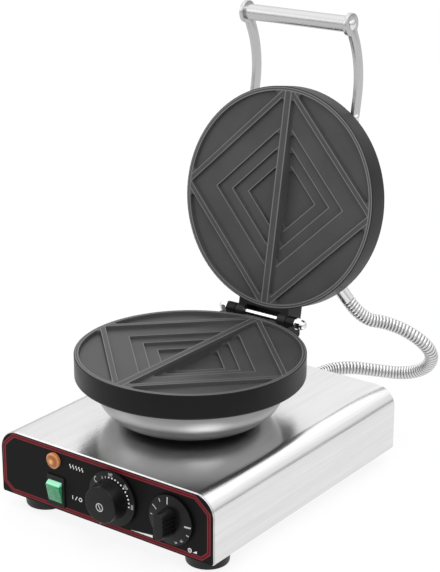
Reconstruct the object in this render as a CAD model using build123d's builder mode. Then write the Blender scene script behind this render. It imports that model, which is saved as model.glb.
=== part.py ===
from build123d import *
import os
from math import cos, radians, sin, tan

# Countertop sandwich maker for one round load: a folded steel base with a control panel, a cast
# plate on a steel bowl, and a hinged lid with the same plate. A ribbed hose serves the lid.
# Millimetres. Origin on the floor under the middle of the base, +X right, -Y front, +Z up.
# The lid is modelled open on its stop.
os.makedirs("parts", exist_ok=True)

# Base: folded cover, panels and film
base_width = 250.0
base_depth = 304.0
cover_height = 65.0
cover_bend = 20.0
toe_bend = 3.0
sheet = 1.5
film_thick = 0.5
edge_reveal = 0.8       # edge of the cover that shows round the panels
side_flange = 12.0
top_flange = 7.0
return_width = 55.0     # inward return under each side of the cover
floor_margin = 10.0     # from the base's edges to the bottom plate

# Feet
foot_height = 15.0
foot_radius = 21.4
foot_draft = 1.6
front_foot_inset = 29.0     # from the base's side
rear_foot_inset = 48.0      # further in, so that it stays out of sight behind the side
foot_inset_y = 30.0
foot_recess_radius = 6.5
foot_recess_depth = 8.0

# Small fasteners, as radii and heights
screw_radius = 2.0
screw_head_radius = 4.0
screw_head_rise = 2.4
screw_clear = 0.2
nut_radius = 4.0
nut_height = 3.2
stud_radius = 1.5
stud_nut_radius = 3.1
stud_nut_height = 2.4
panel_stud_length = 8.0
panel_fixing_edge = 7.0     # from the base's sides
panel_fixing_low = 14.0     # above the cover's lower edge
panel_fixing_high = 40.0
seat_gap = 0.3
fit = 0.05                  # radial running fit of a pin or shaft
thread_over = 1.0           # thread past a nut

# Control panel: places from its left or right side, heights above the cover's lower edge
lamp_edge = 67.3
lamp_up = 50.5
lamp_radius = 7.7
lamp_stem = 4.4
lamp_rise = 5.0
lamp_body_radius = 6.2
lamp_body_length = 20.0
lamp_body_chamfer = 1.0
switch_edge = 69.0
switch_up = 20.0
switch_width = 21.0
switch_height = 30.5
switch_rim = 2.0
switch_rim_bend = 1.5
switch_neck_width = 18.6
switch_neck_height = 27.6
switch_depth = 22.0
rocker_width = 16.0
rocker_swing_radius = 11.7
rocker_pivot_depth = 3.0    # pivot behind the film
rocker_ridge_out = 6.5      # ridge of the rocker in front of the film
rocker_ridge_up = 7.6       # ridge above the pivot
rocker_low_out = 2.4
rocker_back = 5.0
rocker_clear = 0.3
rocker_pin_radius = 1.5
dial_spacing = 66.5         # thermostat to timer
thermostat_up = 34.0
thermostat_body_size = (38.0, 34.0, 28.0)
timer_edge = 45.0
timer_up = 33.0
timer_body_size = (42.0, 36.0, 32.0)
body_bend = 3.0
bushing_radius = 5.0
bushing_clear = 0.3
bushing_out = 1.0           # bushing in front of the film
shaft_radius = 3.0
shaft_in = 14.0             # shaft behind the film
shaft_out = 16.0            # shaft in front of the film

# Knobs: distances in front of the film
knob_back = 1.8
thermostat_skirt_radius = 26.5
thermostat_skirt_edge = 3.6
thermostat_skirt_top = 5.0
thermostat_grip_foot = 19.0
thermostat_grip_front = 17.3
thermostat_knob_front = 20.0
timer_skirt_radius = 23.7
timer_skirt_edge = 3.4
timer_skirt_top = 5.2
timer_crown_radius = 15.0
timer_bar_width = 10.7
timer_bar_height = 24.5
timer_bar_draft = 5.0
timer_bar_front = 21.0
timer_flutes = 4
timer_flute_radius = 1.2
knob_edge_round = 1.0

# Inside the base
terminal_edge = 80.0        # from the base's left side
terminal_rear = 56.0        # from the base's rear
terminal_size = (56.0, 22.0, 18.0)
terminal_ways = 4
terminal_way_radius = 3.0
terminal_round = 2.0
capillary_radius = 1.2
capillary_bends = [25.0, 12.0, 5.0]
bulb_radius = 3.0
bulb_length = 50.0

# Cooling slots
slot_length = 26.0
slot_width = 4.0
slot_pitch = 9.0

# Plates, cast alike above and below
plate_radius = 110.0
plate_thick = 24.0
plate_y = -21.0             # plate centre from the middle of the base
plate_face_round = 0.8
plate_back_round = 2.5
ridge_half = 4.0            # half the middle ridge between the two triangles
pocket_corner = 105.0       # outer corner of the large triangle
pocket_round = 2.5
pocket_depth = 3.5
nested_corners = (74.6, 57.2, 39.3)
nested_round = 5.0
nested_corner_round = 2.0
nested_step = 2.8
pocket_draft = 15.0
rim_pocket_radius = 105.5
rim_pocket_ridge = 5.5      # ridge between a large triangle and the pocket outside it
rim_pocket_round = 3.0

# Bowls behind the plates
bowl_inset = 19.5           # bowl inside the plate's rim
bowl_straight = 8.0
bowl_bend = 31.5
bowl_wall = 1.2
gasket_radius = 55.0
gasket_hole = 45.0
gasket_thick = 3.0
wire_hole_radius = 6.0
wire_hole_x = 28.0
wire_hole_y = 24.0

# Heaters and tie studs
heater_radius = 60.0
heater_tube = 4.0
heater_gap_angle = 40.0
heater_tail = 12.0
clamp_length = 140.0
clamp_width = 16.0
clamp_thick = 2.0
tie_radius = 4.0
tie_in_plate = 12.0
tie_collar_radius = 7.5
tie_collar = 5.0
tie_nut_radius = 7.5
tie_nut_height = 6.5
tie_over = 2.0
cap_rise = 5.0              # dome on a cap nut

# Hinge
hinge_out = 8.5             # hinge axis behind the plate's rim
open_angle = 100.2
pin_radius = 3.0
ear_radius = 6.0
lid_lug_half = 30.0
lid_ear_width = 9.5
lid_lug_end = 6.5           # lug past the hinge axis
lug_slot_depth = 14.0
lug_slot_start = 7.5        # slot between the ears, before the hinge axis
lug_root = 22.0             # lug inside the plate's rim, before the hinge axis
ear_gap = 1.0
base_ear_width = 10.0
base_lug_end = 6.0
base_lug_tail = 13.0        # height of the lug's rear end below the axis
base_lug_heel = 4.0         # where its underside starts to rise, before the axis
stop_gap = 0.25
washer_radius = 6.0
washer_thick = 1.0
washer_play = 0.2
hinge_nut_radius = 5.8
hinge_nut_height = 5.0
hinge_thread = 6.0          # pin inside its nut

# Handle
arm_x = 60.0                # middle of each arm
arm_thick = 4.0
arm_width = 11.5
arm_bowl_gap = 0.8          # from the bowl to the arms and their lugs
arm_elbow = 137.7
arm_bend = 95.0
grip_reach = 176.5
grip_rise = 1.5
arm_eye = 11.0
grip_radius = 7.8
grip_bore = 6.4
grip_insert = 14.0
grip_screw_radius = 2.5
grip_screw_head = 5.0
grip_screw_length = 14.0
arm_lug_width = 6.0
arm_lug_rim_gap = 2.0       # from the lugs to the plate's rim
arm_screw_edge = 3.8        # from a lug's ends to its screws
arm_screw_length = 9.0

# Lid end of the hose
ferrule_turn = 59.0         # round the lid from +X towards the hinge
ferrule_lean = 30.0         # out of the plate's plane
ferrule_flange_radius = 9.5
ferrule_flange = 4.0
ferrule_length = 31.0
hose_radius = 7.0
hose_root_radius = 6.1
hose_bore = 4.6
hose_pitch = 3.55
hose_lead_run = 26.0        # from each end to the hose's first corner
arc_share = 0.45            # arc at a corner, of the shorter run beside it
bend_normal = Vector(-0.3, 0.6, 0.6)    # no part of the hose runs along it
spigot_radius = 5.0
spigot_length = 7.0
locknut_radius = 9.0
locknut_height = 3.0
lid_locknut_radius = 7.5

# Rear panel: hose gland and mains inlet gland
hose_gland_x = 18.0
hose_gland_up = 47.0
mains_gland_edge = 47.0     # from the base's left side
mains_gland_up = 24.0
gland_radius = 11.0
gland_height = 6.0
gland_dome_radius = 8.5
gland_dome = 12.0
gland_collar = 2.0          # collar past the hose gland's hexagon
gland_collar_rim = 1.0      # collar wider than the hose
gland_mouth_round = 2.5
mains_bore = 4.5
vent_edge = 45.0            # from the base's right side
vent_beside_gland = 50.0    # from the mains gland
vent_up = 30.0
rear_slot_rows = 4
floor_slot_rows = 6
floor_slot_columns = 3
floor_slot_gap = 40.0

# Places that follow from the sizes above
front_y = -base_depth / 2
rear_y = base_depth / 2
floor_z = foot_height
cover_top = floor_z + cover_height
film_back = front_y + film_thick
cover_front = film_back + sheet
cover_rear = rear_y - sheet
cover_length = cover_rear - cover_front
deck = floor_z + 2 * sheet
half_width = base_width / 2
lamp_x = lamp_edge - half_width
switch_x = switch_edge - half_width
timer_x = half_width - timer_edge
thermostat_x = timer_x - dial_spacing
terminal_x = terminal_edge - half_width
terminal_y = rear_y - terminal_rear
mains_gland_x = mains_gland_edge - half_width
vent_places = (half_width - vent_edge, mains_gland_x + vent_beside_gland)
panel_fixing_x = half_width - panel_fixing_edge
bowl_radius = plate_radius - bowl_inset
bowl_height = bowl_straight + bowl_bend
bowl_foot = plate_thick + bowl_height
parting_z = cover_top + gasket_thick + bowl_foot
hinge_reach = plate_radius + hinge_out
hinge_y = plate_y + hinge_reach
lean = radians(open_angle)
front_foot_x = half_width - front_foot_inset
rear_foot_x = half_width - rear_foot_inset
foot_y = base_depth / 2 - foot_inset_y
foot_places = {
    "foot_front_left": (-front_foot_x, -foot_y),
    "foot_front_right": (front_foot_x, -foot_y),
    "foot_rear_left": (-rear_foot_x, foot_y),
    "foot_rear_right": (rear_foot_x, foot_y),
}
panel_fixings = [
    (side * panel_fixing_x, floor_z + up)
    for side in (-1, 1)
    for up in (panel_fixing_low, panel_fixing_high)
]

# The casting planes: local y runs towards the hinge and local z from the cooking face into the metal
lower_face = Plane(origin=(0, plate_y, parting_z), x_dir=(-1, 0, 0), z_dir=(0, 0, -1))
lid_face = Plane(
    origin=(0, hinge_y - hinge_reach * cos(lean), parting_z + hinge_reach * sin(lean)),
    x_dir=(1, 0, 0),
    z_dir=(0, sin(lean), cos(lean)),
)


def keep(builder, name):
    # Labels a finished piece and writes its file
    builder.part.label = name
    export_step(builder.part, f"parts/{name}.step")


def facing(y):
    # Plane across the base at y: local x is X, local y is Z, and its normal points to the front
    return Plane(origin=(0, y, 0), x_dir=(1, 0, 0), z_dir=(0, -1, 0))


def facing_at(x, y, z, normal_y=-1):
    return Plane(origin=(x, y, z), x_dir=(-normal_y, 0, 0), z_dir=(0, normal_y, 0))


def lengthwise(x):
    # Section plane of the lid at x: local x towards the hinge, local y away from the cooking face
    return Plane(origin=lid_face.origin + Vector(x, 0, 0), x_dir=lid_face.y_dir, z_dir=(1, 0, 0))


def half_section(seat):
    # Plane through a round piece's axis: local x outwards, local y along the seat's normal
    return Plane(origin=seat.origin, x_dir=seat.x_dir, z_dir=-seat.y_dir)


def axis_of(seat):
    return Axis(seat.origin, seat.z_dir)


def lid_seat(x, towards_hinge, away, side):
    # Seat on a face square to the hinge axis, given in the lid's own coordinates
    place = lid_face.from_local_coords(Vector(x, towards_hinge, away))
    return Plane(origin=place, x_dir=lid_face.y_dir, z_dir=(side, 0, 0))


def panel_outline(inset):
    # Upright of the base: large bends above, small ones below
    with BuildSketch() as outline:
        with Locations((0, floor_z + cover_height / 2)):
            Rectangle(base_width - 2 * inset, cover_height - 2 * inset)
        upper = outline.vertices().group_by(Axis.Y)[-1]
        fillet(upper, cover_bend - inset)
        lower = outline.vertices().group_by(Axis.Y)[0]
        fillet(lower, toe_bend - inset)
    return outline.sketch


def round_screws(seats, shank, length, head, rise):
    # Screws with domed heads, one on each seat, with the head out along the seat's normal
    lip = rise / 4
    with BuildPart() as group:
        for seat in seats:
            with BuildSketch(half_section(seat)):
                with BuildLine():
                    Polyline((0, rise), (0, -length), (shank, -length), (shank, 0), (head, 0), (head, lip))
                    TangentArc((0, rise), (head, lip), tangent=(1, 0))
                make_face()
            revolve(axis=axis_of(seat))
    return group.part


def hex_nuts(seats, hole, radius, height):
    with BuildPart() as group:
        for seat in seats:
            with BuildSketch(seat):
                RegularPolygon(radius, 6)
                Circle(hole, mode=Mode.SUBTRACT)
            extrude(amount=height)
    return group.part


def cap_nuts(seats, hole, radius, height, thread):
    # Hexagon nuts closed by a dome, with a blind hole from the seat
    dome_foot = radius * cos(radians(30))
    with BuildPart() as group:
        for seat in seats:
            with BuildSketch(seat):
                RegularPolygon(radius, 6)
            extrude(amount=height)
            with BuildSketch(half_section(seat)):
                with BuildLine():
                    Polyline((0, height + cap_rise), (0, 0), (dome_foot, 0), (dome_foot, height))
                    TangentArc((0, height + cap_rise), (dome_foot, height), tangent=(1, 0))
                make_face()
            revolve(axis=axis_of(seat))
            with BuildSketch(seat):
                Circle(hole)
            extrude(amount=thread, mode=Mode.SUBTRACT)
    return group.part


def glands(seats, spigot, end, end_radius, bore):
    # Cable gland seen from its seat: a spigot through the wall, a hexagon, and a stepped end
    with BuildPart() as group:
        for seat in seats:
            with BuildSketch(seat):
                RegularPolygon(gland_radius, 6)
            extrude(amount=gland_height)
            with BuildSketch(seat.offset(gland_height)):
                Circle(end_radius)
            extrude(amount=end - gland_height)
            with BuildSketch(seat):
                Circle(spigot_radius)
            extrude(amount=-spigot)
            with BuildSketch(seat.offset(-spigot)):
                Circle(bore)
            extrude(amount=spigot + end, mode=Mode.SUBTRACT)
    return group.part


# Cover: one folded sheet with bends along both top edges, returns below and flanges at both ends
outline_outer = panel_outline(0)
outline_inner = panel_outline(sheet)
outline_panel = panel_outline(edge_reveal)
window_width = base_width - 2 * side_flange
window_height = cover_height - top_flange - sheet
window_bend = 6.0
flange_round = 1.0
tie_clear = tie_radius + screw_clear
with BuildPart() as base_cover:
    with BuildSketch(facing(cover_rear)):
        add(outline_outer)
    extrude(amount=cover_length)
    with BuildSketch(facing(cover_rear - sheet)):
        add(outline_inner)
    extrude(amount=cover_length - 2 * sheet, mode=Mode.SUBTRACT)
    with BuildSketch(facing(cover_rear)) as window:
        with Locations((0, floor_z + sheet + window_height / 2)):
            Rectangle(window_width, window_height)
        fillet(window.vertices().group_by(Axis.Y)[-1], window_bend)
    extrude(amount=cover_length, mode=Mode.SUBTRACT)
    with BuildSketch(Plane.XY.offset(floor_z)):
        Rectangle(base_width - 2 * return_width, base_depth)
    extrude(amount=sheet, mode=Mode.SUBTRACT)
    with BuildSketch(Plane.XY.offset(floor_z)):
        with Locations(*foot_places.values()):
            Circle(screw_radius + screw_clear)
    extrude(amount=sheet, mode=Mode.SUBTRACT)
    with BuildSketch(Plane.XY.offset(cover_top)):
        with Locations((0, plate_y)):
            Circle(tie_clear)
        with Locations((wire_hole_x, plate_y + wire_hole_y)):
            Circle(wire_hole_radius)
    extrude(amount=-sheet, mode=Mode.SUBTRACT)
    with BuildSketch(facing(cover_rear)):
        with Locations(*panel_fixings):
            Circle(stud_radius + screw_clear)
    extrude(amount=cover_length, mode=Mode.SUBTRACT)
keep(base_cover, "base_cover")

# Front panel with its film: openings for the lamp, the switch and the two bushings
lamp_z = floor_z + lamp_up
switch_z = floor_z + switch_up
thermostat_z = floor_z + thermostat_up
timer_z = floor_z + timer_up
shaft_places = [(thermostat_x, thermostat_z), (timer_x, timer_z)]
with BuildSketch() as panel_openings:
    with Locations((lamp_x, lamp_z)):
        Circle(lamp_stem + screw_clear)
    with Locations((switch_x, switch_z)):
        Rectangle(switch_neck_width + 2 * screw_clear, switch_neck_height + 2 * screw_clear)
    with Locations(*shaft_places):
        Circle(bushing_radius + bushing_clear)
openings = panel_openings.sketch
with BuildPart() as front_panel:
    with BuildSketch(facing(cover_front)):
        add(outline_panel)
        add(openings, mode=Mode.SUBTRACT)
    extrude(amount=sheet)
    with BuildSketch(facing(cover_front)):
        with Locations(*panel_fixings):
            Circle(stud_radius)
    extrude(amount=-panel_stud_length)
keep(front_panel, "front_panel")

with BuildPart() as panel_film:
    with BuildSketch(facing(film_back)):
        add(outline_panel)
        add(openings, mode=Mode.SUBTRACT)
    extrude(amount=film_thick)
keep(panel_film, "panel_film")

nut_seats = [facing_at(x, cover_front + sheet, z, 1) for x, z in panel_fixings]
with BuildPart() as panel_nuts:
    add(hex_nuts(nut_seats, stud_radius + fit, stud_nut_radius, stud_nut_height))
keep(panel_nuts, "panel_nuts")

# Rear panel: glands, four screws and two groups of slots
hose_gland_z = floor_z + hose_gland_up
mains_gland_z = floor_z + mains_gland_up
with BuildPart() as rear_panel:
    with BuildSketch(facing(rear_y)):
        add(outline_panel)
        with Locations((hose_gland_x, hose_gland_z), (mains_gland_x, mains_gland_z)):
            Circle(spigot_radius + screw_clear, mode=Mode.SUBTRACT)
        with Locations(*panel_fixings):
            Circle(stud_radius + screw_clear, mode=Mode.SUBTRACT)
        for x in vent_places:
            with Locations((x, floor_z + vent_up)):
                with GridLocations(slot_length, slot_pitch, 1, rear_slot_rows):
                    SlotOverall(slot_length, slot_width, mode=Mode.SUBTRACT)
    extrude(amount=sheet)
keep(rear_panel, "rear_panel")

rear_screw_seats = [facing_at(x, rear_y, z, 1) for x, z in panel_fixings]
with BuildPart() as panel_screws:
    add(round_screws(rear_screw_seats, stud_radius, panel_stud_length, stud_nut_radius, stud_nut_height))
keep(panel_screws, "panel_screws")

# Bottom plate: lies on the cover's returns, slotted in the middle
with BuildPart() as bottom_plate:
    with BuildSketch(Plane.XY.offset(floor_z + sheet)):
        Rectangle(base_width - 2 * floor_margin, base_depth - 2 * floor_margin)
        with Locations(*foot_places.values()):
            Circle(screw_radius + screw_clear, mode=Mode.SUBTRACT)
        with GridLocations(floor_slot_gap, slot_pitch, floor_slot_columns, floor_slot_rows):
            SlotOverall(slot_length, slot_width, mode=Mode.SUBTRACT)
    extrude(amount=sheet)
keep(bottom_plate, "bottom_plate")

# Feet: turned rubber with a recess for the screw, then their screws and nuts
for name, (x, y) in foot_places.items():
    foot_seat = Plane(origin=(x, y, 0))
    foot_toe = (foot_radius - foot_draft, 0, 0)
    with BuildPart() as foot:
        with BuildSketch(half_section(foot_seat)) as foot_profile:
            with BuildLine():
                Polyline(
                    (foot_recess_radius, 0),
                    (foot_radius - foot_draft, 0),
                    (foot_radius, foot_height),
                    (screw_radius + screw_clear, foot_height),
                    (screw_radius + screw_clear, foot_recess_depth),
                    (foot_recess_radius, foot_recess_depth),
                    close=True,
                )
            make_face()
            toe = foot_profile.vertices().sort_by_distance(foot_toe)[0]
            fillet(toe, foot_draft)
        revolve(axis=axis_of(foot_seat))
    keep(foot, name)

foot_screw_seats = [
    Plane(origin=(x, y, foot_recess_depth), z_dir=(0, 0, -1)) for x, y in foot_places.values()
]
foot_nut_seats = [Plane(origin=(x, y, deck)) for x, y in foot_places.values()]
foot_screw_length = deck + nut_height + thread_over - foot_recess_depth
with BuildPart() as foot_screws:
    add(
        round_screws(
            foot_screw_seats, screw_radius, foot_screw_length, screw_head_radius, screw_head_rise
        )
    )
keep(foot_screws, "foot_screws")

with BuildPart() as foot_nuts:
    add(hex_nuts(foot_nut_seats, screw_radius + fit, nut_radius, nut_height))
keep(foot_nuts, "foot_nuts")

# Indicator lamp: a domed lens with a stem through the panel, and its holder behind
lamp_seat = facing_at(lamp_x, front_y, lamp_z)
lamp_lip = lamp_rise / 2
with BuildPart() as lamp_lens:
    with BuildSketch(half_section(lamp_seat)):
        with BuildLine():
            Polyline(
                (0, lamp_rise),
                (0, -film_thick - sheet),
                (lamp_stem, -film_thick - sheet),
                (lamp_stem, 0),
                (lamp_radius, 0),
                (lamp_radius, lamp_lip),
            )
            TangentArc((0, lamp_rise), (lamp_radius, lamp_lip), tangent=(1, 0))
        make_face()
    revolve(axis=axis_of(lamp_seat))
keep(lamp_lens, "lamp_lens")

with BuildPart() as lamp_body:
    with BuildSketch(facing(cover_front)):
        with Locations((lamp_x, lamp_z)):
            Circle(lamp_body_radius)
    extrude(amount=-lamp_body_length)
    rear_rim = lamp_body.edges().filter_by(GeomType.CIRCLE).sort_by(Axis.Y)[-1]
    chamfer(rear_rim, lamp_body_chamfer)
keep(lamp_body, "lamp_body")

# Power switch: a housing hollowed round the rocker's swing, and the rocker with its upper end out
pivot = Vector(0, front_y + rocker_pivot_depth, switch_z)
rocker_side = Plane(origin=Vector(switch_x, 0, 0) + pivot, x_dir=(0, -1, 0), z_dir=(-1, 0, 0))
rocker_half = rocker_width / 2
with BuildPart() as switch_housing:
    with BuildSketch(facing(front_y)):
        with Locations((switch_x, switch_z)):
            RectangleRounded(switch_width, switch_height, switch_rim_bend)
    extrude(amount=switch_rim)
    front_rim = switch_housing.edges().group_by(Axis.Y)[0]
    chamfer(front_rim, switch_rim / 3)
    with BuildSketch(facing(front_y)):
        with Locations((switch_x, switch_z)):
            Rectangle(switch_neck_width, switch_neck_height)
    extrude(amount=-switch_depth)
    with BuildSketch(rocker_side.offset(-rocker_half - rocker_clear)):
        Circle(rocker_swing_radius + rocker_clear)
    extrude(amount=2 * (rocker_half + rocker_clear), mode=Mode.SUBTRACT)
    with BuildSketch(rocker_side.offset(-rocker_half - rocker_clear)):
        Circle(rocker_pin_radius)
    extrude(amount=2 * (rocker_half + rocker_clear))
keep(switch_housing, "switch_housing")

ridge = (rocker_pivot_depth + rocker_ridge_out, rocker_ridge_up)
toe_out = rocker_pivot_depth + rocker_low_out
toe_drop = -(rocker_swing_radius ** 2 - toe_out ** 2) ** 0.5
crown_out = rocker_pivot_depth + switch_rim
crown_up = (rocker_swing_radius ** 2 - crown_out ** 2) ** 0.5
with BuildPart() as switch_rocker:
    with BuildSketch(rocker_side.offset(-rocker_half)):
        with BuildLine():
            Polyline((crown_out, crown_up), ridge, (toe_out, toe_drop), (-rocker_back, toe_drop))
            Polyline((-rocker_back, toe_drop), (-rocker_back, crown_up), (crown_out, crown_up))
        make_face()
        Circle(rocker_swing_radius, mode=Mode.INTERSECT)
        Circle(rocker_pin_radius + fit, mode=Mode.SUBTRACT)
    extrude(amount=rocker_width)
keep(switch_rocker, "switch_rocker")


def control_body(x, z, size):
    # Body of a dial behind the panel, with a threaded bushing through it and a bore for the shaft
    width, height, depth = size
    with BuildPart() as body:
        with BuildSketch(facing(cover_front)):
            with Locations((x, z)):
                RectangleRounded(width, height, body_bend)
        extrude(amount=-depth)
        with BuildSketch(facing(cover_front)):
            with Locations((x, z)):
                Circle(bushing_radius)
        extrude(amount=sheet + film_thick + bushing_out)
        with BuildSketch(facing(front_y - bushing_out)):
            with Locations((x, z)):
                Circle(shaft_radius + fit)
        extrude(amount=-bushing_out - shaft_in - seat_gap, mode=Mode.SUBTRACT)
    return body.part


def dial_shaft(x, z):
    with BuildPart() as shaft:
        with BuildSketch(facing(front_y + shaft_in)):
            with Locations((x, z)):
                Circle(shaft_radius)
        extrude(amount=shaft_in + shaft_out)
    return shaft.part


def skirt_section(edge_radius, edge_out, top_radius, top_out):
    # Half-section of a knob's skirt: flat back, thin edge, rising to the grip
    with BuildSketch() as section:
        with BuildLine():
            Polyline(
                (0, knob_back),
                (edge_radius, knob_back),
                (edge_radius, edge_out),
                (top_radius, top_out),
                (0, top_out),
                close=True,
            )
        make_face()
    return section.sketch


with BuildPart() as thermostat_body:
    add(control_body(thermostat_x, thermostat_z, thermostat_body_size))
keep(thermostat_body, "thermostat_body")

with BuildPart() as thermostat_shaft:
    add(dial_shaft(thermostat_x, thermostat_z))
keep(thermostat_shaft, "thermostat_shaft")

with BuildPart() as timer_body:
    add(control_body(timer_x, timer_z, timer_body_size))
keep(timer_body, "timer_body")

with BuildPart() as timer_shaft:
    add(dial_shaft(timer_x, timer_z))
keep(timer_shaft, "timer_shaft")

# Thermostat knob: a wide skirt and a slightly tapered round grip
thermostat_seat = facing_at(thermostat_x, front_y, thermostat_z)
thermostat_skirt = skirt_section(
    thermostat_skirt_radius, thermostat_skirt_edge, thermostat_grip_foot, thermostat_skirt_top
)
with BuildPart() as thermostat_knob:
    with BuildSketch(half_section(thermostat_seat)):
        with BuildLine():
            Polyline(
                (0, thermostat_skirt_top),
                (thermostat_grip_foot, thermostat_skirt_top),
                (thermostat_grip_front, thermostat_knob_front),
                (0, thermostat_knob_front),
                close=True,
            )
        make_face()
        add(thermostat_skirt)
    revolve(axis=axis_of(thermostat_seat))
    front_rim = thermostat_knob.edges().filter_by(GeomType.CIRCLE).sort_by(Axis.Y)[0]
    fillet(front_rim, knob_edge_round)
    with BuildSketch(thermostat_seat.offset(knob_back)):
        Circle(bushing_radius + bushing_clear)
    extrude(amount=bushing_out, mode=Mode.SUBTRACT)
    with BuildSketch(thermostat_seat):
        Circle(shaft_radius + fit)
    extrude(amount=shaft_out + seat_gap, mode=Mode.SUBTRACT)
keep(thermostat_knob, "thermostat_knob")

# Timer knob: a skirt that rises in a low cone, and a bar grip with flutes along both sides
timer_seat = facing_at(timer_x, front_y, timer_z)
timer_skirt = skirt_section(timer_skirt_radius, timer_skirt_edge, timer_crown_radius, timer_skirt_top)
bar_length = timer_bar_front - timer_skirt_top
bar_flare = bar_length * tan(radians(timer_bar_draft))
flute_pitch = timer_bar_height / (timer_flutes + 2)
bar_front = timer_seat.offset(timer_bar_front)
with BuildPart() as timer_knob:
    with BuildSketch(half_section(timer_seat)):
        add(timer_skirt)
    revolve(axis=axis_of(timer_seat))
    with BuildSketch(Plane(bar_front.origin, bar_front.x_dir, -bar_front.z_dir)):
        SlotOverall(timer_bar_height, timer_bar_width, rotation=90)
    extrude(amount=bar_length, taper=-timer_bar_draft)
    front_rim = timer_knob.edges().group_by(Axis.Y)[0]
    fillet(front_rim, knob_edge_round)
    with BuildSketch(timer_seat.offset(timer_skirt_top)):
        for side in (-1, 1):
            with Locations((side * (timer_bar_width / 2 + bar_flare / 2), 0)):
                with GridLocations(timer_bar_width, flute_pitch, 1, timer_flutes):
                    Circle(timer_flute_radius)
    extrude(amount=bar_length, mode=Mode.SUBTRACT)
    with BuildSketch(timer_seat.offset(knob_back)):
        Circle(bushing_radius + bushing_clear)
    extrude(amount=bushing_out, mode=Mode.SUBTRACT)
    with BuildSketch(timer_seat):
        Circle(shaft_radius + fit)
    extrude(amount=shaft_out + seat_gap, mode=Mode.SUBTRACT)
keep(timer_knob, "timer_knob")

# Terminal block on the bottom plate
terminal_length, terminal_width, terminal_height = terminal_size
way_pitch = terminal_length / terminal_ways
with BuildPart() as terminal_block:
    with BuildSketch(Plane.XY.offset(deck)):
        with Locations((terminal_x, terminal_y)):
            RectangleRounded(terminal_length, terminal_width, terminal_round)
    extrude(amount=terminal_height)
    with BuildSketch(Plane.XY.offset(deck + terminal_height)):
        with Locations((terminal_x, terminal_y)):
            with GridLocations(way_pitch, terminal_width / 2, terminal_ways, 2):
                Circle(terminal_way_radius)
    extrude(amount=-terminal_height / 2, mode=Mode.SUBTRACT)
keep(terminal_block, "terminal_block")

# Glands at the rear, each held by a ring nut inside
spigot_inside = sheet + locknut_height + thread_over
hose_seat = facing_at(hose_gland_x, rear_y, hose_gland_z, 1)
mains_seat = facing_at(mains_gland_x, rear_y, mains_gland_z, 1)
collar_end = gland_height + gland_collar
collar_radius = hose_radius + gland_collar_rim
with BuildPart() as hose_gland:
    add(glands([hose_seat], spigot_inside, collar_end, collar_radius, hose_bore))
keep(hose_gland, "hose_gland")

with BuildPart() as mains_gland:
    add(glands([mains_seat], spigot_inside, gland_height + gland_dome, gland_dome_radius, mains_bore))
    mouth_rims = mains_gland.edges().filter_by(GeomType.CIRCLE).group_by(Axis.Y)[-1]
    fillet(mouth_rims.sort_by(SortBy.LENGTH)[-1], gland_mouth_round)
keep(mains_gland, "mains_gland")

behind_panel = -sheet - locknut_height
locknut_bore = spigot_radius + fit
with BuildPart() as hose_locknut:
    add(hex_nuts([hose_seat.offset(behind_panel)], locknut_bore, locknut_radius, locknut_height))
keep(hose_locknut, "hose_locknut")

with BuildPart() as mains_locknut:
    add(hex_nuts([mains_seat.offset(behind_panel)], locknut_bore, locknut_radius, locknut_height))
keep(mains_locknut, "mains_locknut")


def plate_blank(face):
    # Cast disc with a light round on the cooking side and a larger one behind
    with BuildPart() as blank:
        with BuildSketch(face):
            Circle(plate_radius)
        extrude(amount=plate_thick)
        rims = blank.edges().filter_by(GeomType.CIRCLE).sort_by(axis_of(face))
        fillet(rims[0], plate_face_round)
        fillet(rims[-1], plate_back_round)
    return blank.part


def pocket_cutter(face):
    # Two triangles with nested steps, and four rim pockets outside them, all with drafted walls
    levels = [(pocket_corner, pocket_depth, pocket_round, pocket_round)]
    levels += [(corner, nested_step, nested_round, nested_corner_round) for corner in nested_corners]
    chord = (pocket_corner + rim_pocket_ridge * 2 ** 0.5) / 2 ** 0.5
    with BuildPart() as cutter:
        for side in (-1, 1):
            depth = 0
            for corner, step, end_round, corner_round in levels:
                half = corner - ridge_half
                with BuildSketch(face.offset(depth)) as triangle:
                    with BuildLine():
                        Polyline(
                            (side * ridge_half, -half),
                            (side * corner, 0),
                            (side * ridge_half, half),
                            close=True,
                        )
                    make_face()
                    ends = triangle.vertices().sort_by(Axis.X)[::side][:2]
                    fillet(ends, end_round)
                    tip = triangle.vertices().sort_by(Axis.X)[::side][-1]
                    fillet(tip, corner_round)
                extrude(amount=step, taper=pocket_draft)
                depth += step
        with BuildSketch() as segment:
            Circle(rim_pocket_radius)
            with Locations((chord + rim_pocket_radius, 0)):
                Rectangle(2 * rim_pocket_radius, 2 * rim_pocket_radius, mode=Mode.INTERSECT)
            fillet(segment.vertices(), rim_pocket_round)
        for quarter in range(4):
            with BuildSketch(face):
                add(segment.sketch, rotation=45 + 90 * quarter)
            extrude(amount=pocket_depth, taper=pocket_draft)
    return cutter.part


def bowl(face):
    # Spun shell: short straight wall at the plate, one large bend, flat foot with two holes
    with BuildPart() as shell:
        with BuildSketch(half_section(face)):
            for inset, mode in ((0, Mode.ADD), (bowl_wall, Mode.SUBTRACT)):
                bend = bowl_bend - inset
                with BuildLine():
                    Polyline(
                        (0, bowl_foot - inset),
                        (0, plate_thick),
                        (bowl_radius - inset, plate_thick),
                        (bowl_radius - inset, plate_thick + bowl_straight),
                    )
                    RadiusArc(
                        (bowl_radius - inset, plate_thick + bowl_straight),
                        (bowl_radius - bowl_bend, bowl_foot - inset),
                        -bend,
                    )
                    Line((bowl_radius - bowl_bend, bowl_foot - inset), (0, bowl_foot - inset))
                make_face(mode=mode)
        revolve(axis=axis_of(face))
        with BuildSketch(face.offset(bowl_foot)):
            Circle(tie_radius + screw_clear)
        extrude(amount=-bowl_wall, mode=Mode.SUBTRACT)
    return shell.part


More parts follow.
